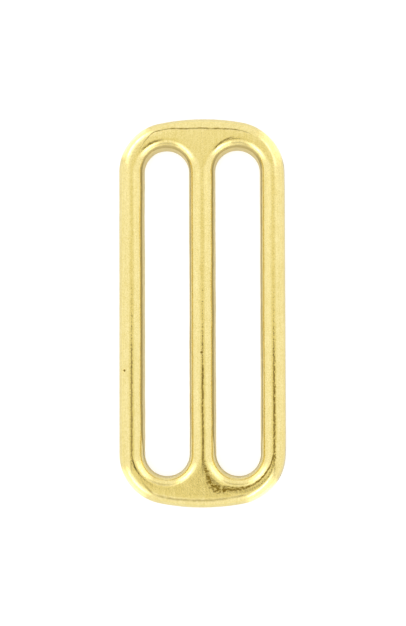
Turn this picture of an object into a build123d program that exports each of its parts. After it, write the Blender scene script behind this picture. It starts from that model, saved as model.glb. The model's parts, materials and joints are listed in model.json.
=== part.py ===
from build123d import *
import os
from math import radians, sqrt, tan

# A three-bar strap slide, cast in one piece. It lies on its flat back: +X runs across the bars,
# +Y along them and +Z out of the domed face, and the origin is in the middle of the back.
# Lengths are in millimetres and angles in degrees.

# Driving dimensions. Widths are those at the back, where the slots are narrowest.
strap_width = 50.8  # the webbing or leather that the slots take
strap_clearance = 0.5  # length left over in a slot beside the strap
slot_width = 7.0
side_bar_width = 3.95
centre_bar_width = 4.2
end_bar_width = 4.9  # from the end of a slot to the middle of the arched end
thickness = 3.2
end_arch_radius = 34.5
corner_radius = 7.8
slot_draft = 8.0  # how far the slot walls lean back, so that the casting leaves its mould
outer_face_round = 1.55
slot_face_round = 1.5
outer_back_round = 0.4
slot_back_round = 0.3
narrowest_land = 0.2  # the least flat that the rounds leave on a bar

# What follows from them
slot_length = strap_width + strap_clearance
slot_pitch = slot_width + centre_bar_width
overall_width = 2 * side_bar_width + 2 * slot_width + centre_bar_width
overall_length = slot_length + 2 * end_bar_width


def arch_drop(x):
    """How far the arched end has fallen away from its middle, x to the side of it."""
    return end_arch_radius - sqrt(end_arch_radius**2 - x**2)


def outline():
    """The outside shape: straight sides, arched ends and round corners, all tangent."""
    side = overall_width / 2
    end = overall_length / 2
    shoulder = end - arch_drop(side)
    edge = Line((side, -shoulder), (side, shoulder))
    edge += ThreePointArc((side, shoulder), (0, end), (-side, shoulder))
    edge += Line((-side, shoulder), (-side, -shoulder))
    edge += ThreePointArc((-side, -shoulder), (0, -end), (side, -shoulder))
    shape = make_face(edge)
    return fillet(shape.vertices(), corner_radius)


def slot_opening(x):
    """The space of one slot with its round ends, wider at the face by the draft."""
    at_back = Pos(x, 0) * SlotOverall(slot_length, slot_width, rotation=90)
    return extrude(at_back, thickness, taper=-slot_draft)


def face_rounds():
    """The outer and slot rounds of the face, eased together where a bar has no room for them."""
    wall_run = thickness * tan(radians(slot_draft))
    slot_round_run = slot_face_round * tan(radians(45 - slot_draft / 2))
    side_room = side_bar_width - wall_run - narrowest_land
    end_room = end_bar_width - arch_drop(slot_pitch / 2) - wall_run - narrowest_land
    centre_room = centre_bar_width - 2 * wall_run - narrowest_land
    height_room = thickness - outer_back_round - narrowest_land
    share = min(
        1,
        min(side_room, end_room) / (outer_face_round + slot_round_run),
        centre_room / (2 * slot_round_run),
        height_room / max(outer_face_round, slot_face_round),
    )
    return share * outer_face_round, share * slot_face_round


def with_rounds(body, side, outer_round, slot_round):
    """The body with rounds on the outer and slot edges of its back (side 0) or face (side -1)."""
    flat = body.faces().filter_by(Plane.XY).sort_by(Axis.Z)[side]
    body = fillet(flat.outer_wire().edges(), outer_round)
    flat = body.faces().filter_by(Plane.XY).sort_by(Axis.Z)[side]
    slot_edges = [edge for wire in flat.inner_wires() for edge in wire.edges()]
    return fillet(slot_edges, slot_round)


def slide_body():
    """The whole casting: a plate with two slots, domed on the face and flat on the back."""
    body = extrude(outline(), thickness)
    for x in (-slot_pitch / 2, slot_pitch / 2):
        body -= slot_opening(x)
    outer_round, slot_round = face_rounds()
    body = with_rounds(body, -1, outer_round, slot_round)
    return with_rounds(body, 0, outer_back_round, slot_back_round)


os.makedirs("parts", exist_ok=True)
export_step(slide_body(), "parts/slide_body.step")
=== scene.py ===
import json
from math import cos, hypot, pi, radians, sin, sqrt, tan

import bmesh
import bpy
import numpy as np
from mathutils import Matrix, Vector, noise
from mathutils.geometry import delaunay_2d_cdt


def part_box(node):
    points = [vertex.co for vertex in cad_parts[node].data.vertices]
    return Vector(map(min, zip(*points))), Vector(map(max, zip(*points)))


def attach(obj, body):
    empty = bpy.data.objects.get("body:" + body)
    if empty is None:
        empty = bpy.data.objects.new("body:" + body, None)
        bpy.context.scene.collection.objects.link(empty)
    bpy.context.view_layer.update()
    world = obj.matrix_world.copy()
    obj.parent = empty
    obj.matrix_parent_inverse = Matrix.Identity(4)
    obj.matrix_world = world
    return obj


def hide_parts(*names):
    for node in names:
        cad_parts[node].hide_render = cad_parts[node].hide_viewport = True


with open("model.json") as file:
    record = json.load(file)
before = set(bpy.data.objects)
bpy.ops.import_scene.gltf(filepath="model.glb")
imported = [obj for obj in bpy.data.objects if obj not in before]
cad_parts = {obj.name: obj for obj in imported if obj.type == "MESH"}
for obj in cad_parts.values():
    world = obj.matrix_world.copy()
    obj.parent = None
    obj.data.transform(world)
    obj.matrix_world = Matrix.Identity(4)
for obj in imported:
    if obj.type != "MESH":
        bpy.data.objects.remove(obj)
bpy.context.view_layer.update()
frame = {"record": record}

# A three-bar strap slide, cast in brass, polished by hand on its face and left as cast in its
# slots and on its back. The mesh here has the CAD body's shape with the finish worked into it.
# The slide lies on its back: +X runs across the bars, +Y along them, +Z out of the face.
# Lengths are in metres and angles in radians.

MM = 0.001


# ---------------------------------------------------------------- sizes from the frame

NODE = "slide_body"
low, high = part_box(NODE)
HALF_WIDTH = (high.x - low.x) / 2
HALF_LENGTH = (high.y - low.y) / 2
THICKNESS = high.z - low.z
BACK_Z = low.z
MOUNTS = {mount["name"]: mount for mount in frame["record"]["mounts"]}
SLOT = MOUNTS["strap_slot_right"]
SLOT_X = SLOT["pos_m"][0]
SLOT_RADIUS = SLOT["dims"]["hole_r_mm"] * MM
SLOT_HALF_LENGTH = SLOT["dims"]["slot_length_mm"] * MM / 2

# The rest of the section, as in the CAD body
ARCH_RADIUS = 34.5 * MM
CORNER_RADIUS = 7.8 * MM
DRAFT = radians(8)
OUTER_ROUND = 1.55 * MM
SLOT_ROUND = 1.5 * MM
OUTER_BACK_ROUND = 0.4 * MM
SLOT_BACK_ROUND = 0.3 * MM
SLOT_LAND = THICKNESS * tan(DRAFT) + SLOT_ROUND * tan(pi / 4 - DRAFT / 2)
BAR_RIDGE_X = (HALF_WIDTH - OUTER_ROUND + SLOT_X + SLOT_RADIUS + SLOT_LAND) / 2
SLOT_STRAIGHT = SLOT_HALF_LENGTH - SLOT_RADIUS
CORNER_X = HALF_WIDTH - CORNER_RADIUS  # centres of the corners, and of the arched ends
ARCH_Y = HALF_LENGTH - ARCH_RADIUS
CORNER_Y = ARCH_Y + sqrt((ARCH_RADIUS - CORNER_RADIUS) ** 2 - CORNER_X**2)

# What polishing by hand leaves
POLISH_ANGLE = radians(58)  # how far the wheel reaches down the slot rounds
POLISH_Z = THICKNESS - SLOT_ROUND * (1 - cos(POLISH_ANGLE))
RIGHT_POLISH_Z = 2.15 * MM  # a little further down on their right sides
LOWER_POLISH_Z = 1.1 * MM  # far down at their lower ends
UPPER_POLISH_Z = 2.7 * MM  # and less far at their upper ends
OUTER_POLISH_Z = 0.3 * MM  # and down the outside
SKIN_PROUD = 0.02 * MM  # how far the cast skin stands above what was polished
CROWN_REACH = 0.42 * MM  # the lands fall away towards the rounds
CROWN_RADIUS = 3.0 * MM
CROWN_FADE = 0.5 * MM
SAG_REACH = 0.9 * MM
SAG_RADIUS = 9.0 * MM
CAST_EDGE = 0.08 * MM  # over which the polish gives way to the cast skin
UPPER_ENDS = (22 * MM, 25 * MM)  # where the polish of the slots changes, along +Y
LOWER_ENDS = (18 * MM, 25 * MM)  # and along -Y
FLATS = (22 * MM, 26 * MM)  # where the crowned bars turn into the flats at the ends
FLAT_OUTSIDE = 0.8  # the share of the crown that is gone there, beside the rim
FLAT_BY_SLOTS = 0.6  # and beside the slots
RUB_DOWN = 0.16 * MM  # off the right-hand corners

# Uneven height, as (amount, size of its features)
POLISH_RIPPLE = (0.0035 * MM, 0.9 * MM)
POLISH_SWELL = (0.009 * MM, 4.0 * MM)
CAST_GRAIN = (0.010 * MM, 0.45 * MM)
CAST_SWELL = (0.016 * MM, 1.6 * MM)
SLOT_SWELL = (0.05 * MM, 5.0 * MM)

# The painted dark reflection round the face, as its inset from the outline in millimetres
LINE_INSET = {"top": 1.28, "bottom": 1.15}
LINE_DIP = (0.37, 5)  # how much further in it is at the top's middle, and that dip's half width
LINE_SLOPE = 0.03  # inwards towards the right
LINE_BEND_X = 7.5  # from here it turns inwards, by these slopes on the left and the right
LINE_BENDS = {"top": (0.45, 0.25), "bottom": (0.42, 0.15)}
LINE_INSET_MOST = 2.2

# ---------------------------------------------------------------- mesh fineness

STEP = 0.22 * MM  # along the loops
LAND_ROWS = (0.24 * MM, 0.16 * MM, 0.08 * MM, 0)  # on the land beside the rounds
BACK_STEP = 0.36 * MM
ROUND_ROWS = 14
LOWER_ROUND_ROWS = 4
WALL_ROWS = 9
SIDE_ROWS = 7
EDGE_ROWS = 3


# ---------------------------------------------------------------- loops in plan

def arc_stations(centre, radius, start, end):
    """Points along an arc, each with the direction outwards from its centre."""
    count = max(2, round(abs(end - start) * radius / STEP))
    for k in range(count):
        a = start + (end - start) * k / count
        out = Vector((cos(a), sin(a)))
        yield Vector(centre) + out * radius, out


def line_stations(start, end, out):
    """Points along a straight edge, each with its outward direction."""
    start, end = Vector(start), Vector(end)
    count = max(2, round((end - start).length / STEP))
    for k in range(count):
        yield start.lerp(end, k / count), Vector(out)


def outline_loop():
    """The outside of the slide, anticlockwise, with outward directions."""
    join = np.arctan2(CORNER_Y - ARCH_Y, CORNER_X)
    loop = []
    loop += line_stations((HALF_WIDTH, -CORNER_Y), (HALF_WIDTH, CORNER_Y), (1, 0))
    loop += arc_stations((CORNER_X, CORNER_Y), CORNER_RADIUS, 0, join)
    loop += arc_stations((0, ARCH_Y), ARCH_RADIUS, join, pi - join)
    loop += arc_stations((-CORNER_X, CORNER_Y), CORNER_RADIUS, pi - join, pi)
    loop += line_stations((-HALF_WIDTH, CORNER_Y), (-HALF_WIDTH, -CORNER_Y), (-1, 0))
    loop += arc_stations((-CORNER_X, -CORNER_Y), CORNER_RADIUS, pi, pi + join)
    loop += arc_stations((0, -ARCH_Y), ARCH_RADIUS, pi + join, 2 * pi - join)
    loop += arc_stations((CORNER_X, -CORNER_Y), CORNER_RADIUS, 2 * pi - join, 2 * pi)
    return loop


def slot_loop(x):
    """One slot at the back plane, anticlockwise, with directions into the metal."""
    right, left, end = x + SLOT_RADIUS, x - SLOT_RADIUS, SLOT_STRAIGHT
    loop = []
    loop += line_stations((right, -end), (right, end), (1, 0))
    loop += arc_stations((x, end), SLOT_RADIUS, 0, pi)
    loop += line_stations((left, end), (left, -end), (-1, 0))
    loop += arc_stations((x, -end), SLOT_RADIUS, pi, 2 * pi)
    return loop


# ---------------------------------------------------------------- sections

def spread(start, end, count):
    """count steps from start to end, with the first value left out."""
    return [start + (end - start) * k / count for k in range(1, count + 1)]


def outer_section():
    """(inset, height) rows from the land, over the outer side, to the back plane."""
    rows = [(OUTER_ROUND + inset, THICKNESS) for inset in LAND_ROWS]
    for a in spread(0, pi / 2, ROUND_ROWS):
        rows.append((OUTER_ROUND * (1 - sin(a)), THICKNESS - OUTER_ROUND * (1 - cos(a))))
    for z in spread(THICKNESS - OUTER_ROUND, OUTER_BACK_ROUND, SIDE_ROWS):
        rows.append((0, z))
    for a in spread(0, pi / 2, EDGE_ROWS):
        rows.append((OUTER_BACK_ROUND * (1 - cos(a)), OUTER_BACK_ROUND * (1 - sin(a))))
    return rows


def slot_section():
    """(offset into the metal, height) rows from the land, down the wall, to the back."""
    rows = [(SLOT_LAND + offset, THICKNESS) for offset in LAND_ROWS]
    angles = spread(0, POLISH_ANGLE, ROUND_ROWS)
    angles += spread(POLISH_ANGLE, pi / 2 - DRAFT, LOWER_ROUND_ROWS)
    for a in angles:
        rows.append((SLOT_LAND - SLOT_ROUND * sin(a), THICKNESS - SLOT_ROUND * (1 - cos(a))))
    foot = SLOT_BACK_ROUND * (1 + sin(DRAFT))
    for z in spread(rows[-1][1], foot, WALL_ROWS):
        rows.append((z * tan(DRAFT), z))
    centre = SLOT_BACK_ROUND * tan(pi / 4 + DRAFT / 2)
    for a in spread(DRAFT, -pi / 2, EDGE_ROWS):
        rows.append((centre - SLOT_BACK_ROUND * cos(a), SLOT_BACK_ROUND * (1 + sin(a))))
    return rows


# ---------------------------------------------------------------- the casting's mesh

def add_band(bm, loop, section, inwards):
    """A closed band of quads along a loop. Returns the first and last rows of vertices."""
    rows = []
    for offset, z in section:
        shift = -offset if inwards else offset
        rows.append([bm.verts.new((*(point + out * shift), z)) for point, out in loop])
    count = len(loop)
    for upper, lower in zip(rows, rows[1:]):
        for k in range(count):
            m = (k + 1) % count
            corners = (upper[k], lower[k], lower[m], upper[m])
            bm.faces.new(corners if inwards else corners[::-1])
    return rows[0], rows[-1]


def outline_inset(x, y):
    """How far a plan point lies inside the outline."""
    x, y = abs(x), abs(y)
    if y <= CORNER_Y:
        return HALF_WIDTH - x
    # On the arch side of the line from the arch's centre through the corner's centre
    if x * (CORNER_Y - ARCH_Y) < CORNER_X * (y - ARCH_Y):
        return ARCH_RADIUS - hypot(x, y - ARCH_Y)
    return CORNER_RADIUS - hypot(max(0, x - CORNER_X), y - CORNER_Y)


def slot_offset(x, y):
    """How far a plan point lies outside the nearer slot, at the back plane."""
    return hypot(abs(x) - SLOT_X, max(0, abs(y) - SLOT_STRAIGHT)) - SLOT_RADIUS


def fill(bm, loops, z, step, inset, offset):
    """Triangles between the loops of vertices, with evenly spread points inside."""
    verts = [vert for loop in loops for vert in loop]
    edges = []
    first = 0
    for loop in loops:
        count = len(loop)
        edges += [(first + k, first + (k + 1) % count) for k in range(count)]
        first += count
    points = [vert.co.xy for vert in verts]
    gap = 0.62 * step
    row_height = step * sqrt(3) / 2
    for row in range(-int(HALF_LENGTH / row_height), int(HALF_LENGTH / row_height) + 1):
        y = row * row_height
        for column in range(-int(HALF_WIDTH / step), int(HALF_WIDTH / step) + 1):
            x = (column + 0.5 * (row % 2)) * step
            if outline_inset(x, y) > inset + gap and slot_offset(x, y) > offset + gap:
                points.append(Vector((x, y)))
    found = delaunay_2d_cdt(points, edges, [], 0, 1e-7, True)
    made = []
    for place, sources in zip(found[0], found[3]):
        old = [k for k in sources if k < len(verts)]
        made.append(verts[old[0]] if old else bm.verts.new((*place, z)))
    for corners in found[2]:
        middle = sum((found[0][k] for k in corners), Vector((0, 0))) / 3
        if outline_inset(*middle) < inset or slot_offset(*middle) < offset:
            continue
        face = [made[k] for k in corners]
        bm.faces.new(face if z > 0 else face[::-1])


def exact_mesh():
    """The CAD body's shape, in even faces."""
    bm = bmesh.new()
    outer, slot = outer_section(), slot_section()
    tops, backs = [], []
    bands = [(outline_loop(), outer, True)]
    bands += [(slot_loop(x), slot, False) for x in (-SLOT_X, SLOT_X)]
    for loop, section, inwards in bands:
        first, last = add_band(bm, loop, section, inwards)
        tops.append(first)
        backs.append(last)
    fill(bm, tops, THICKNESS, STEP, outer[0][0], slot[0][0])
    fill(bm, backs, 0, BACK_STEP, outer[-1][0], slot[-1][0])
    mesh = bpy.data.meshes.new("slide_casting")
    bm.to_mesh(mesh)
    bm.free()
    mesh.shade_smooth()
    return mesh


# ---------------------------------------------------------------- the finish, in the mesh

def smooth(value, low, high):
    t = np.clip((value - low) / (high - low), 0, 1)
    return t * t * (3 - 2 * t)


def uneven(points, amount_and_size, seed):
    """Smooth noise at each point, to about the amount each way, with features of about the size."""
    amount, size = amount_and_size
    shift = Vector((seed * 7.3, seed * 3.1, seed * 5.7))
    return amount * np.array([noise.noise(Vector(point) + shift) for point in points / size])


def crown_drop(into_land, reach=CROWN_REACH, radius=CROWN_RADIUS):
    """How far the face falls near a round, from the distance past the round's edge."""
    near = np.clip(reach - into_land, 0, reach)
    past = np.clip(-into_land, 0, None)
    return near**2 / (2 * radius) + reach / radius * CROWN_FADE * (1 - np.exp(-past / CROWN_FADE))


def rim_line_inset(x, y):
    """Where the rounded rim meets the face: further in at the top than at the bottom."""
    x = x / MM
    past = np.clip(np.abs(x) - LINE_BEND_X, 0, None)
    dip, half_width = LINE_DIP
    top = LINE_INSET["top"] + dip * np.clip(1 - (x / half_width) ** 2, 0, 1)
    top += LINE_SLOPE * np.clip(x, 0, None) + np.where(x < 0, *LINE_BENDS["top"]) * past
    bottom = LINE_INSET["bottom"]
    bottom += LINE_SLOPE * np.clip(x, 0, None) + np.where(x < 0, *LINE_BENDS["bottom"]) * past
    return MM * np.minimum(np.where(y > 0, top, bottom), LINE_INSET_MOST)


def store(mesh, name, values):
    layer = mesh.attributes.new(name, "FLOAT", "POINT")
    layer.data.foreach_set("value", values.astype(np.float32))


def finished_mesh():
    """The casting with crowned bars, hand-polished ripple and cast skin.

    Four measures are kept on its points for the material, in millimetres: skin is how far a
    point lies below the polished part, rim is how far inside the line round the face, slot is
    how far outside the edge of the nearer slot's round, and ridge is how far to the right of
    the nearest bar's ridge.
    """
    mesh = exact_mesh()
    count = len(mesh.vertices)
    co = np.zeros(count * 3, np.float32)
    normal = np.zeros(count * 3, np.float32)
    mesh.vertices.foreach_get("co", co)
    mesh.vertex_normals.foreach_get("vector", normal)
    co = co.reshape(-1, 3).astype(float)
    normal = normal.reshape(-1, 3).astype(float)
    x, y, z = co.T.copy()

    inset = np.array([outline_inset(*point) for point in co[:, :2]])
    beyond = np.clip(np.abs(y) - SLOT_STRAIGHT, 0, None)
    offsets = [np.hypot(x - side * SLOT_X, beyond) - SLOT_RADIUS for side in (-1, 1)]
    nearer = np.minimum(*offsets)
    in_slot = nearer < SLOT_LAND + 0.5 * MM
    on_side = inset < OUTER_ROUND
    aside = smooth(x - np.sign(x) * SLOT_X, 0, 3 * MM)
    slot_polish_z = POLISH_Z + (RIGHT_POLISH_Z - POLISH_Z) * aside
    slot_polish_z += (LOWER_POLISH_Z - slot_polish_z) * smooth(-y, *LOWER_ENDS)
    slot_polish_z += (UPPER_POLISH_Z - slot_polish_z) * smooth(y, *UPPER_ENDS)
    skin = np.where(on_side, OUTER_POLISH_Z, np.where(in_slot, slot_polish_z, THICKNESS / 2)) - z
    cast = smooth(skin, 0, CAST_EDGE)

    # The bars are crowned, and the flats at the ends much less, with a sag by the lower right slot
    at_ends = smooth(np.abs(y), *FLATS)
    drop = crown_drop(inset - OUTER_ROUND) * (1 - FLAT_OUTSIDE * at_ends)
    for offset in offsets:
        drop += crown_drop(offset - SLOT_LAND) * (1 - FLAT_BY_SLOTS * at_ends)
    sag = crown_drop(offsets[1] - SLOT_LAND, SAG_REACH, SAG_RADIUS)
    drop += sag * at_ends * smooth(-y, 0, 20 * MM)
    co[:, 2] -= drop * smooth(z, THICKNESS - 1.4 * MM, THICKNESS - 0.3 * MM)

    height = (1 - cast) * (uneven(co, POLISH_RIPPLE, 1) + uneven(co, POLISH_SWELL, 2))
    height += cast * (SKIN_PROUD + uneven(co, CAST_GRAIN, 3) + uneven(co, CAST_SWELL, 4))
    height += smooth(skin, -0.6 * MM, 0.2 * MM) * uneven(co, SLOT_SWELL, 5) * in_slot
    # The right-hand corners are rubbed down a little further
    corner = smooth(x, 6 * MM, 11 * MM) * smooth(np.abs(y), 19 * MM, 25 * MM)
    corner *= smooth(-inset, -OUTER_ROUND, -0.5 * OUTER_ROUND) * smooth(z, 0, 1 * MM)
    height -= RUB_DOWN * corner
    co += height[:, None] * normal
    co[:, 2] = np.maximum(co[:, 2], BACK_Z)

    mesh.vertices.foreach_set("co", co.astype(np.float32).ravel())
    store(mesh, "skin", skin / MM)
    store(mesh, "rim", (inset - rim_line_inset(x, y)) / MM)
    store(mesh, "slot", (nearer - SLOT_LAND) / MM)
    bars = np.where(np.abs(x) < SLOT_X, 0, np.sign(x) * BAR_RIDGE_X)
    store(mesh, "ridge", (x - bars) / MM)
    mesh.update()
    return mesh


casting = bpy.data.objects.new("slide_casting", finished_mesh())
bpy.context.scene.collection.objects.link(casting)

# ---------------------------------------------------------------- material

POLISHED_COLOUR = (0.995, 0.858, 0.412)
TONED_COLOUR = (0.840, 0.690, 0.250)  # where the polish is duller
RIDGE_AND_PATCH_REFLECTION_COLOUR = (0.740, 0.560, 0.140)  # painted tan reflection along the ridges, and painted dark reflection over the rough patch
CAST_COLOUR = (0.84, 0.71, 0.34)
# Painted shade in the crease at the top of the slot walls
CREASE_SHADE_COLOUR = (0.38, 0.30, 0.11)
# Painted dark reflections and shade: the lines round the face, the slot ends and the ridges, the pits
# and the rough patch
PAINTED_DARK_COLOUR = (0.20, 0.125, 0.008)
POLISHED_ROUGHNESS = 0.12
LAND_ROUGHNESS = 0.05  # added where the wheel passed lightly, between the slot ends
SLOT_ROUND_ROUGHNESS = 0.06  # and on the rounds of the slots
CAST_ROUGHNESS = 0.42
DARK_MARK_ROUGHNESS = 0.25  # added where the lines, pits and patch are painted dark, and in the painted shade at the top of the walls
PATCH_PLACE = (1.9, -27.4, 3.2)  # a rough patch on the face, painted dark for its shade and dark reflections, in millimetres
PATCH_RADIUS = 2.9
PITS = ((0.0, -6.3, 3.2), (-12.2, -9.1, 3.03))
PIT_RADII = (0.16, 0.30)  # painted shade, all dark within the first, gone past the second
FACE_HEIGHT = (1.0, 1.4)
SKIN_START = (-0.05, 0.03)
DARK_START = (-0.14, 0.03)  # the painted shade at the top of the walls, as depths below the polish
DARK_END = (0.32, 0.60)
DARK_EARLIER = 0.09  # on the right sides of the slots
DARK_AT_ENDS = (0.35, 0.65)  # how dark it is round the lower and the upper ends
MARKED_ENDS = (22.5, 25.0)  # distances along the slide where the lines and flats begin
# The painted dark reflection round the face
RIM_REFLECTION_WIDTHS = (0.30, 0.18)  # half widths of the line, below and above
LOWER_RIM_REFLECTION = 0.6  # how strong it is below
# The painted dark reflections round the slot ends
SLOT_REFLECTION_PLACES = (0.48, 0.77)  # how far inside the slots' rounds, below and above
SLOT_REFLECTION_WIDTH = 0.24
SLOT_REFLECTION_STRENGTH = 0.42
JAGGED_REFLECTION_WIDTH = 0.21
RIDGE_REFLECTION_ASIDE = 0.13  # how far to the right of the ridges the painted dark reflection lies
RIDGE_REFLECTION_WIDTH = 0.27
# The painted tan reflection round the dark one along the ridges
TAN_RIDGE_REFLECTION_WIDTH = 0.50
RIDGE_AND_PATCH_REFLECTION_STRENGTH = 0.40
# How dark the painted shade at the top of the walls is
CREASE_SHADE_STRENGTH = 0.9
# How dark the painted dark reflections and shade are
PAINTED_DARK_STRENGTH = 0.95


def new_material(name):
    material = bpy.data.materials.new(name)
    material.use_nodes = True
    return material, material.node_tree


class Nodes:
    """Short ways to add the nodes of a material or world. Lengths in it are in millimetres."""

    def __init__(self, tree):
        self.tree = tree
        scale = self.add("ShaderNodeVectorMath", operation="SCALE")
        scale.inputs["Scale"].default_value = 1 / MM
        self.link(self.add("ShaderNodeTexCoord").outputs["Object"], scale.inputs[0])
        self.place = scale.outputs["Vector"]

    def add(self, kind, **settings):
        node = self.tree.nodes.new(kind)
        for name, value in settings.items():
            setattr(node, name, value)
        return node

    def link(self, output, socket):
        self.tree.links.new(output, socket)

    def apart(self, vector):
        """The x, y and z of a vector."""
        node = self.add("ShaderNodeSeparateXYZ")
        self.link(vector, node.inputs[0])
        return node.outputs

    def feed(self, socket, value):
        if isinstance(value, (int, float)):
            socket.default_value = value
        else:
            self.link(value, socket)

    def math(self, operation, a, b=0.0, clamp=False):
        node = self.add("ShaderNodeMath", operation=operation, use_clamp=clamp)
        self.feed(node.inputs[0], a)
        self.feed(node.inputs[1], b)
        return node.outputs[0]

    def measure(self, name):
        return self.add("ShaderNodeAttribute", attribute_name=name).outputs["Fac"]

    def noise(self, size, detail=2.0, roughness=0.5, seed=0.0, stretch=(1, 1, 1)):
        """Noise from -1 to 1 with features of about the size given, longer by the stretch."""
        mapping = self.add("ShaderNodeMapping")
        mapping.inputs["Location"].default_value = (seed * 3.7, seed * 5.3, seed * 1.9)
        mapping.inputs["Scale"].default_value = [1 / (size * part) for part in stretch]
        self.link(self.place, mapping.inputs["Vector"])
        node = self.add("ShaderNodeTexNoise")
        node.inputs["Scale"].default_value = 1
        node.inputs["Detail"].default_value = detail
        node.inputs["Roughness"].default_value = roughness
        self.link(mapping.outputs["Vector"], node.inputs["Vector"])
        return self.ramp(node.outputs["Fac"], 0.25, 0.75, -1, 1)

    def ramp(self, value, low, high, out_low=0.0, out_high=1.0, smoothed=False):
        node = self.add("ShaderNodeMapRange")
        node.interpolation_type = "SMOOTHSTEP" if smoothed else "LINEAR"
        self.feed(node.inputs["Value"], value)
        node.inputs["From Min"].default_value = low
        node.inputs["From Max"].default_value = high
        node.inputs["To Min"].default_value = out_low
        node.inputs["To Max"].default_value = out_high
        return node.outputs["Result"]

    def beyond(self, value, limit):
        """How far the value is past the limit, above or below 0."""
        node = self.add("ShaderNodeClamp")
        self.feed(node.inputs["Value"], value)
        node.inputs["Min"].default_value = -limit
        node.inputs["Max"].default_value = limit
        return self.math("SUBTRACT", value, node.outputs["Result"])

    def band(self, value, half_width):
        """1 where the value is 0, falling to 0 at half_width to each side."""
        return self.ramp(self.math("ABSOLUTE", value), 0, half_width, 1, 0, smoothed=True)

    def distance(self, place):
        node = self.add("ShaderNodeVectorMath", operation="DISTANCE")
        self.link(self.place, node.inputs[0])
        node.inputs[1].default_value = place
        return node.outputs["Value"]

    def mix(self, share, a, b):
        node = self.add("ShaderNodeMix", data_type="RGBA")
        self.feed(node.inputs["Factor"], share)
        for socket, colour in ((node.inputs["A"], a), (node.inputs["B"], b)):
            if isinstance(colour, tuple):
                socket.default_value = (*colour, 1)
            else:
                self.link(colour, socket)
        return node.outputs["Result"]

    def blend(self, share, a, b):
        """From a to b, two numbers or outputs, by the share."""
        node = self.add("ShaderNodeMix", data_type="FLOAT")
        self.feed(node.inputs["Factor"], share)
        self.feed(node.inputs["A"], a)
        self.feed(node.inputs["B"], b)
        return node.outputs["Result"]

    def total(self, *parts):
        value = parts[0]
        for part in parts[1:]:
            value = self.math("ADD", value, part)
        return value

    def product(self, *parts):
        value = parts[0]
        for part in parts[1:]:
            value = self.math("MULTIPLY", value, part)
        return value


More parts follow.
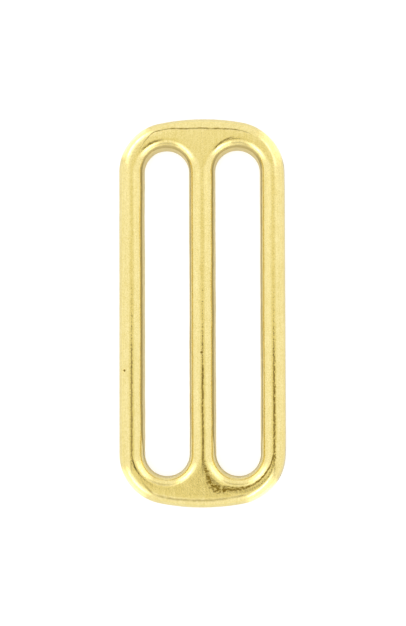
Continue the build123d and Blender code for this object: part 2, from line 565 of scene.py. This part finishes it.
class Marks:
    """What casting and polishing left on the brass, and the dark reflections and shade painted on it.
    Lengths are in millimetres.
    """

    def __init__(self, n):
        self.n = n
        self.x, self.y, z = n.apart(n.place)
        self.skin_depth, self.rim = n.measure("skin"), n.measure("rim")
        self.slot, self.ridge = n.measure("slot"), n.measure("ridge")
        self.mottle = n.noise(1.3, detail=3, seed=1)
        self.grain = n.noise(0.16, detail=2, seed=2)
        self.ripple = n.noise(0.5, detail=2, roughness=0.6, seed=3)
        self.strokes = n.noise(0.10, detail=2, seed=4, stretch=(1, 14, 1))
        self.wander = n.noise(2.5, detail=2, seed=5)
        self.specks = n.noise(0.30, detail=3, roughness=0.6, seed=8)
        self.jags = n.noise(0.55, detail=1, seed=9)
        self.streaks = n.noise(0.40, detail=2, seed=10, stretch=(1, 20, 1))
        self.face = n.ramp(z, *FACE_HEIGHT)  # 1 on the face, where most marks are, and 0 on the back
        self.along_slide = n.math("ABSOLUTE", self.y)
        self.at_ends = n.product(n.ramp(self.along_slide, *MARKED_ENDS, smoothed=True), self.face)
        self.upper = n.ramp(self.y, -1, 1)
        # How far to the right of the middle of the nearer slot
        nearer_slot = n.ramp(self.x, -0.01, 0.01, -SLOT_X / MM, SLOT_X / MM)
        self.aside = n.math("SUBTRACT", self.x, nearer_slot)

    def cast_skin(self):
        """How far a point lies below the polish's uneven edge, and the share of as-cast skin."""
        n = self.n
        depth = n.total(self.skin_depth, n.product(self.grain, 0.06), n.product(self.wander, 0.05))
        return depth, n.ramp(depth, *SKIN_START, smoothed=True)

    def painted_crease_shade(self, depth):
        """Painted shade, dark at the top of the walls below the polish."""
        n = self.n
        earlier = n.ramp(self.aside, -1.0, 1.0, 0, DARK_EARLIER)
        dark = n.ramp(n.total(depth, earlier), *DARK_START)
        dark = n.product(dark, n.ramp(depth, *DARK_END, 1, 0, smoothed=True))
        by_slot_ends = n.ramp(self.along_slide, 22.0, 25.0)
        return n.product(dark, n.blend(by_slot_ends, 1, n.ramp(self.y, -1, 1, *DARK_AT_ENDS)))

    def rim_reflection(self):
        """The painted dark reflection round the face, deep only along the ends."""
        n = self.n
        place = n.total(self.rim, n.product(self.ripple, 0.05), n.product(self.wander, 0.06))
        place = n.total(place, n.product(self.jags, 0.03))
        lower_line, upper_line = [n.band(place, width) for width in RIM_REFLECTION_WIDTHS]
        line = n.blend(self.upper, n.product(lower_line, LOWER_RIM_REFLECTION), upper_line)
        worn = n.ramp(n.noise(1.1, detail=3, seed=6), -0.6, 0.1, 0.6, 1)
        middle_part = n.product(n.ramp(self.x, -10.0, -8.0), n.ramp(self.x, 8.0, 6.0))
        return n.product(line, self.at_ends, worn, middle_part)

    def painted_slot_reflections(self):
        """Painted dark reflections across the slot ends: a soft line round each, and a dark jagged
        one at the upper left.
        """
        n = self.n
        off = n.total(self.slot, n.product(self.ripple, 0.06), n.product(self.wander, 0.05))
        line = n.band(n.total(off, n.blend(self.upper, *SLOT_REFLECTION_PLACES)), SLOT_REFLECTION_WIDTH)
        on_arc = n.ramp(n.math("ABSOLUTE", self.aside), 3.4, 1.8)
        line = n.product(line, on_arc, self.at_ends, SLOT_REFLECTION_STRENGTH)
        # At the right slot, the jagged line drifts away from the slot towards the middle
        drift = n.product(n.ramp(self.x, -1, 1), n.ramp(self.aside, -3.0, 0.0, 0, -0.28))
        jagged_reflection = n.band(n.total(off, drift, n.product(self.jags, 0.05), 0.20), JAGGED_REFLECTION_WIDTH)
        left_part = n.product(n.ramp(self.aside, -3.9, -3.3), n.ramp(self.aside, -0.2, -1.3))
        broken = n.ramp(self.specks, -0.7, -0.1, 0.7, 1)
        jagged_reflection = n.product(jagged_reflection, self.upper, left_part, self.at_ends, broken)
        return n.math("MAXIMUM", line, jagged_reflection)

    def flats(self):
        """Where the wheel only brushed the flats between the slot ends."""
        n = self.n
        return n.product(n.ramp(self.rim, 0.0, 0.3), n.ramp(self.slot, -0.15, 0.15), self.at_ends)

    def painted_ridge_reflections(self):
        """Along the ridges of the bars, most on the right one and towards the bottom.

        Gives the painted dark reflection, the painted tan reflection round it and the crooked strip
        that it lies on.
        """
        n = self.n
        off_ridge = n.total(self.ridge, -RIDGE_REFLECTION_ASIDE)
        crooked = n.total(off_ridge, n.product(self.wander, 0.08), n.product(self.jags, 0.06))
        on_ridge = n.product(n.band(crooked, RIDGE_REFLECTION_WIDTH), self.face)
        most = n.product(n.ramp(self.y, -1.0, -9.0, 0.08, 1), n.ramp(self.y, -26.0, -23.0))
        most = n.product(most, n.ramp(self.x, -12, 0, 0.55, 1))
        worked = n.total(self.specks, n.ramp(self.y, -4.0, -14.0, -0.10, 0.25))
        dark_ridge_reflection = n.product(on_ridge, most, n.ramp(worked, -0.06, 0.08, smoothed=True))
        return dark_ridge_reflection, n.product(n.band(off_ridge, TAN_RIDGE_REFLECTION_WIDTH), most, self.face), on_ridge

    def rough_patch(self):
        """The rough patch and its tail round the lower right slot: its extent, then its creases,
        which are painted dark for their shade and dark reflections.
        """
        n = self.n
        near = n.ramp(n.distance(PATCH_PLACE), 0.6, PATCH_RADIUS, 1, 0, smoothed=True)
        # The middle of the tail, out from the slot's round, and half its width
        to_ridge = n.product(n.ramp(self.x, 6.0, 9.0), n.ramp(self.y, -25.0, -21.8, 0, 0.34))
        middle = n.total(n.product(near, 0.70), n.ramp(self.x, 2.5, 9.0, 0.38, -0.02), to_ridge)
        reach = n.total(n.product(near, 0.30), n.ramp(self.x, 5.0, 9.0, 0.40, 0.18))
        off = n.math("DIVIDE", n.math("SUBTRACT", self.slot, middle), reach)
        extent = n.band(n.total(off, n.product(self.jags, 0.30)), 1.4)
        on_right = n.product(n.ramp(self.x, 0.1, 0.5), n.ramp(self.y, -21.0, -23.0))
        extent = n.product(extent, on_right, self.face)
        creases = n.noise(0.30, detail=3, roughness=0.6, seed=7, stretch=(1.5, 1, 1))
        creases = n.ramp(creases, -0.25, 0.10, smoothed=True)
        solid = n.ramp(self.x, 3.0, 7.0, 0.2, 0.5)
        creased = n.product(extent, n.blend(creases, solid, 1))
        return extent, n.ramp(creased, 0.15, 0.60)

    # Pits, with painted shade in them
    def pits(self):
        n = self.n
        found = 0.0
        for place in PITS:
            found = n.math("MAXIMUM", found, n.ramp(n.distance(place), *PIT_RADII, 1, 0))
        return found


def brass_material():
    material, tree = new_material("polished_brass")
    n = Nodes(tree)
    shader = tree.nodes["Principled BSDF"]
    shader.inputs["Metallic"].default_value = 1
    marks = Marks(n)
    mottle, grain, ripple, strokes = marks.mottle, marks.grain, marks.ripple, marks.strokes
    depth, skin = marks.cast_skin()
    crease_shade = n.product(marks.painted_crease_shade(depth), CREASE_SHADE_STRENGTH)
    # Painted dark reflections round the face and the slot ends, and the duller flats
    rim_reflection, slot_reflection, flats = marks.rim_reflection(), marks.painted_slot_reflections(), marks.flats()
    # Painted dark and tan reflections along the ridges
    dark_ridge_reflection, ridge_and_patch_reflection, on_ridge = marks.painted_ridge_reflections()
    # The rough patch, painted dark for its shade and dark reflections
    patch_extent, patch = marks.rough_patch()
    pits = marks.pits()
    ridge_and_patch_reflection = n.math("MAXIMUM", ridge_and_patch_reflection, patch_extent)
    # The painted dark reflections and shade, together
    painted_dark = rim_reflection
    for part in (slot_reflection, dark_ridge_reflection, patch, pits):
        painted_dark = n.math("MAXIMUM", painted_dark, part)

    texture = n.total(n.product(mottle, 0.5), marks.specks, n.product(grain, 0.9))
    texture = n.total(texture, n.product(strokes, 0.6), n.product(marks.streaks, 0.6))
    colour = n.mix(n.ramp(texture, -1.5, 1.5), POLISHED_COLOUR, TONED_COLOUR)
    # Painted tan reflection along the ridges, and painted dark reflection over the rough patch
    colour = n.mix(n.product(ridge_and_patch_reflection, RIDGE_AND_PATCH_REFLECTION_STRENGTH), colour, RIDGE_AND_PATCH_REFLECTION_COLOUR)
    colour = n.mix(skin, colour, CAST_COLOUR)
    # Painted shade at the top of the slot walls
    colour = n.mix(crease_shade, colour, CREASE_SHADE_COLOUR)
    # Painted dark reflections and shade
    colour = n.mix(n.product(painted_dark, PAINTED_DARK_STRENGTH), colour, PAINTED_DARK_COLOUR)
    n.link(colour, shader.inputs["Base Color"])

    polished = n.total(POLISHED_ROUGHNESS, n.product(strokes, 0.03), n.product(mottle, 0.02))
    polished = n.total(polished, n.product(flats, LAND_ROUGHNESS))
    polished = n.total(polished, n.ramp(marks.slot, 0.0, -0.4, 0, SLOT_ROUND_ROUGHNESS))
    cast = n.total(CAST_ROUGHNESS, n.product(grain, 0.06))
    dark_mark_roughness = n.product(n.math("MAXIMUM", crease_shade, painted_dark), DARK_MARK_ROUGHNESS)
    n.link(n.total(n.blend(skin, polished, cast), dark_mark_roughness), shader.inputs["Roughness"])

    # Heights in millimetres
    polish_height = n.total(n.product(ripple, 0.0030), n.product(strokes, 0.0005))
    polish_height = n.total(polish_height, n.product(grain, 0.0004))
    flat_height = n.product(flats, n.total(n.product(marks.specks, 0.0022), n.product(grain, 0.0010)))
    ridge_height = n.product(on_ridge, marks.jags, 0.005)
    polish_height = n.total(polish_height, flat_height, ridge_height)
    cast_height = n.total(n.product(grain, 0.006), n.product(ripple, 0.012))
    height = n.blend(skin, polish_height, cast_height)
    # The face also dips a little under the painted dark lines, over the rough patch and in the pits
    height = n.total(height, n.product(rim_reflection, -0.012), n.product(slot_reflection, -0.012))
    height = n.total(height, n.product(patch, -0.003), n.product(pits, -0.04))
    bump = n.add("ShaderNodeBump")
    bump.inputs["Distance"].default_value = MM
    n.link(height, bump.inputs["Height"])
    n.link(bump.outputs["Normal"], shader.inputs["Normal"])
    return material


casting.data.materials.append(brass_material())

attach(casting, "root")
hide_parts(NODE)

# ---------------------------------------------------------------- studio

CAMERA_DISTANCE = 0.300
CAMERA_OFFSET = (0.015, -0.0145)
VIEW_HEIGHT = 0.0987  # what the camera sees at the slide, from top to bottom
SENSOR = 0.036
AIM = (0.05 * MM, 0, 0)
CAMERA_ROLL = radians(-0.17)
TENT_LIGHT = 1.0
OPENING_RADIUS = 0.130
OPENING_STOPS = (
    (0.00, (0.05, 0.035, 0.01)),
    (0.16, (0.07, 0.05, 0.015)),
    (0.21, (0.89, 0.835, 0.60)),
    (0.60, (0.89, 0.86, 0.68)),
    (1.00, (1.00, 1.00, 1.00)),
)
# Brighter parts of the tent: azimuth, then what each adds on the floor, by it and higher up
BRIGHT_PARTS = (
    (radians(38), 0.5, 0.35, 1.1),
    (radians(138), 0.9, 0.45, 2.2),
    (radians(218), 0.8, 0.40, 1.7),
    (radians(305), 0.9, 0.45, 2.2),
)
PART_EDGES = (cos(radians(26)), 1.0)
PART_RISE = (sin(radians(29)), sin(radians(36)))
PART_TOP = (sin(radians(46)), sin(radians(72)))
FLOOR_SIZE = 3
FLOOR_GAP = 0.02 * MM
FLOOR_COLOUR = (0.62, 0.62, 0.62)
FLOOR_GLOW = 0.48  # what it adds to the camera's view of itself
FLOOR_REFLECTED = 0.12  # and to the brass's
FLOOR_CLEAR = (36, 55)  # squares of distances in millimetres from the corner's centre


def add_object(name, data):
    obj = bpy.data.objects.new(name, data)
    bpy.context.scene.collection.objects.link(obj)
    return obj


def facing(direction, roll=0.0):
    """A rotation whose -Z looks along direction, with the slide's +Y upwards in the picture."""
    back = -Vector(direction).normalized()
    right = Vector((0, 1, 0)).cross(back).normalized()
    up = back.cross(right)
    turn = Matrix((right, up, back)).transposed().to_quaternion()
    return turn @ Matrix.Rotation(roll, 3, "Z").to_quaternion()


def add_camera():
    data = bpy.data.cameras.new("camera")
    data.sensor_width = SENSOR * 1000
    data.lens = SENSOR * CAMERA_DISTANCE / VIEW_HEIGHT * 1000
    data.clip_start = 0.01
    camera = add_object("camera", data)
    camera.location = (*CAMERA_OFFSET, CAMERA_DISTANCE)
    camera.rotation_mode = "QUATERNION"
    camera.rotation_quaternion = facing(Vector(AIM) - camera.location, CAMERA_ROLL)
    bpy.context.scene.camera = camera


def bright_shares(n, x, y):
    """For each bright part of the tent, how far the level direction x, y is towards it."""
    length = n.math("SQRT", n.math("MAXIMUM", n.total(n.product(x, x), n.product(y, y)), 1e-6))
    for azimuth, *_ in BRIGHT_PARTS:
        along = n.total(n.product(x, cos(azimuth)), n.product(y, sin(azimuth)))
        yield n.ramp(n.math("DIVIDE", along, length), *PART_EDGES, smoothed=True)


def add_tent():
    """Soft white light from all sides, brighter in some parts of the tent."""
    tent = bpy.data.worlds.new("studio_tent")
    tent.use_nodes = True
    n = Nodes(tent.node_tree)
    x, y, z = n.apart(n.add("ShaderNodeTexCoord").outputs["Generated"])
    light = TENT_LIGHT
    for share, (_, _, low, high) in zip(bright_shares(n, x, y), BRIGHT_PARTS):
        added = n.product(n.ramp(z, *PART_RISE, low, high, smoothed=True), n.ramp(z, *PART_TOP, 1, 0))
        light = n.total(light, n.product(share, added))
    n.link(light, tent.node_tree.nodes["Background"].inputs["Strength"])
    tent.node_tree.nodes["Background"].inputs["Color"].default_value = (1, 1, 1, 1)
    bpy.context.scene.world = tent


def add_overhead_opening():
    """The dim opening over the slide with the dark lens in it, which only the brass reflects."""
    mesh = bpy.data.meshes.new("overhead_opening")
    bm = bmesh.new()
    bmesh.ops.create_circle(bm, cap_ends=True, segments=96, radius=OPENING_RADIUS)
    bm.to_mesh(mesh)
    bm.free()
    opening = add_object("overhead_opening", mesh)
    opening.location = (*CAMERA_OFFSET, CAMERA_DISTANCE)
    opening.visible_camera = False
    opening.visible_diffuse = False
    opening.visible_shadow = False
    material, tree = new_material("overhead_opening")
    tree.nodes.remove(tree.nodes["Principled BSDF"])
    n = Nodes(tree)
    from_middle = n.math("DIVIDE", n.distance((0, 0, 0)), OPENING_RADIUS / MM)
    ramp = n.add("ShaderNodeValToRGB")
    stops = ramp.color_ramp.elements
    for place, colour in OPENING_STOPS:
        stops.new(place).color = (*colour, 1)
    stops.remove(stops[0])  # the two that a new ramp has
    stops.remove(stops[-1])
    glow = n.add("ShaderNodeEmission")
    glow.inputs["Strength"].default_value = TENT_LIGHT
    n.link(from_middle, ramp.inputs["Fac"])
    n.link(ramp.outputs["Color"], glow.inputs["Color"])
    n.link(glow.outputs[0], tree.nodes["Material Output"].inputs["Surface"])
    mesh.materials.append(material)


def add_floor():
    """A pale floor that glows for the camera, and less for the brass.

    Outwards from the slide's corners, towards the bright parts of the tent, the brass sees a
    stronger glow on it. Neither glow is physical.
    """
    z = BACK_Z - FLOOR_GAP
    corners = [(x * FLOOR_SIZE, y * FLOOR_SIZE, z) for x, y in ((-1, -1), (1, -1), (1, 1), (-1, 1))]
    mesh = bpy.data.meshes.new("floor")
    mesh.from_pydata(corners, [], [(0, 1, 2, 3)])
    floor = add_object("floor", mesh)
    material, tree = new_material("floor")
    n = Nodes(tree)
    shader = tree.nodes["Principled BSDF"]
    shader.inputs["Base Color"].default_value = (*FLOOR_COLOUR, 1)
    shader.inputs["Roughness"].default_value = 0.9
    shader.inputs["Emission Color"].default_value = (1, 1, 1, 1)
    path = n.add("ShaderNodeLightPath")
    # Directions on the floor from the nearest corner's centre
    x, y, _ = n.apart(n.place)
    x, y = n.beyond(x, CORNER_X / MM), n.beyond(y, CORNER_Y / MM)
    clear = n.ramp(n.total(n.product(x, x), n.product(y, y)), *FLOOR_CLEAR)
    seen = FLOOR_REFLECTED
    for share, (_, on_floor, _, _) in zip(bright_shares(n, x, y), BRIGHT_PARTS):
        seen = n.total(seen, n.product(share, on_floor, clear))
    seen = n.product(seen, path.outputs["Is Glossy Ray"])
    glow = n.total(n.product(path.outputs["Is Camera Ray"], FLOOR_GLOW), seen)
    n.link(glow, shader.inputs["Emission Strength"])
    mesh.materials.append(material)


add_camera()
add_tent()
add_overhead_opening()
add_floor()
bpy.context.scene.view_settings.view_transform = "Standard"
